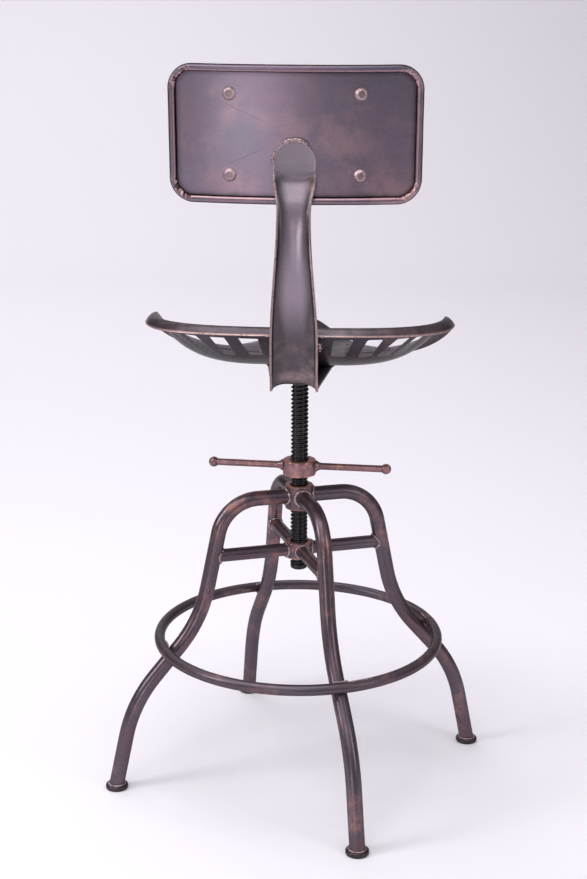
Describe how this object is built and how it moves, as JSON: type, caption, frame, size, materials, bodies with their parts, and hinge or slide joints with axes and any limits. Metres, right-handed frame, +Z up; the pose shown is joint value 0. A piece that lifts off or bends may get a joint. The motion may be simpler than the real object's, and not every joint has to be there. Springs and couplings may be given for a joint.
{
  "type": "tractor seat stool",
  "caption": "Metal stool with a slotted tractor seat and a curved back rest on a height screw, a locking nut with a ball ended bar, a round footrest ring and splayed bent tube legs.",
  "frame": {"origin": "on the screw's axis at the floor, in the middle of the four feet", "axes": "+Z up along the screw, +Y the way the sitter faces, +X to the sitter's right; the back rest is on the -Y side"},
  "size_m": [0.5568, 0.5568, 1.0456],
  "materials": {
    "bronze_paint": "satin antique bronze, dark, rubbed through to copper on the edges",
    "copper_worn": "satin antique bronze, rubbed to copper by hands and tools",
    "oiled_screw": "black, oiled, slightly glossy",
    "cap_plastic": "dark, half gloss"
  },
  "bodies": {
    "base": {"leg_1": "bronze_paint", "foot_cap_1": "cap_plastic", "strut_1": "bronze_paint", "leg_2": "bronze_paint", "foot_cap_2": "cap_plastic", "strut_2": "bronze_paint", "leg_3": "bronze_paint", "foot_cap_3": "cap_plastic", "strut_3": "bronze_paint", "leg_4": "bronze_paint", "foot_cap_4": "cap_plastic", "strut_4": "bronze_paint", "upper_hub": "bronze_paint", "lower_hub": "bronze_paint", "footrest_ring": "bronze_paint"},
    "screw_carrier": {"screw_end_collar": "oiled_screw"},
    "seat": {"screw": "oiled_screw", "screw_flange": "bronze_paint", "seat_pan": "bronze_paint", "seat_bolts": "copper_worn", "back_arm": "bronze_paint", "back_panel": "bronze_paint", "panel_rivets": "copper_worn"},
    "lock_nut": {"lock_hub": "copper_worn"},
    "lock_handle": {"lock_rod_right": "copper_worn", "lock_rod_left": "copper_worn", "lock_ball_right": "copper_worn", "lock_ball_left": "copper_worn"}
  },
  "joints": [
    {"name": "seat_lift", "type": "slide", "parent": "base", "child": "screw_carrier", "axis": [0, 0, 1], "range_m": [-0.10805, 0.00905]},
    {"name": "seat_turn", "type": "hinge", "parent": "screw_carrier", "child": "seat", "pos_m": [0, 0, 0.3475], "axis": [0, 0, 1], "range_deg": [-6480, 540]},
    {"name": "nut_lift", "type": "slide", "parent": "base", "child": "lock_nut", "axis": [0, 0, 1], "range_m": [-0.01405, 0.00405]},
    {"name": "nut_turn", "type": "hinge", "parent": "lock_nut", "child": "lock_handle", "pos_m": [0, 0, 0.474], "axis": [0, 0, 1], "range_deg": [-840, 240]}
  ],
  "couplings": [
    {"joint": "seat_lift", "follows": "seat_turn", "m_per_rad": 0.00095493},
    {"joint": "nut_lift", "follows": "nut_turn", "m_per_rad": 0.00095493}
  ]
}
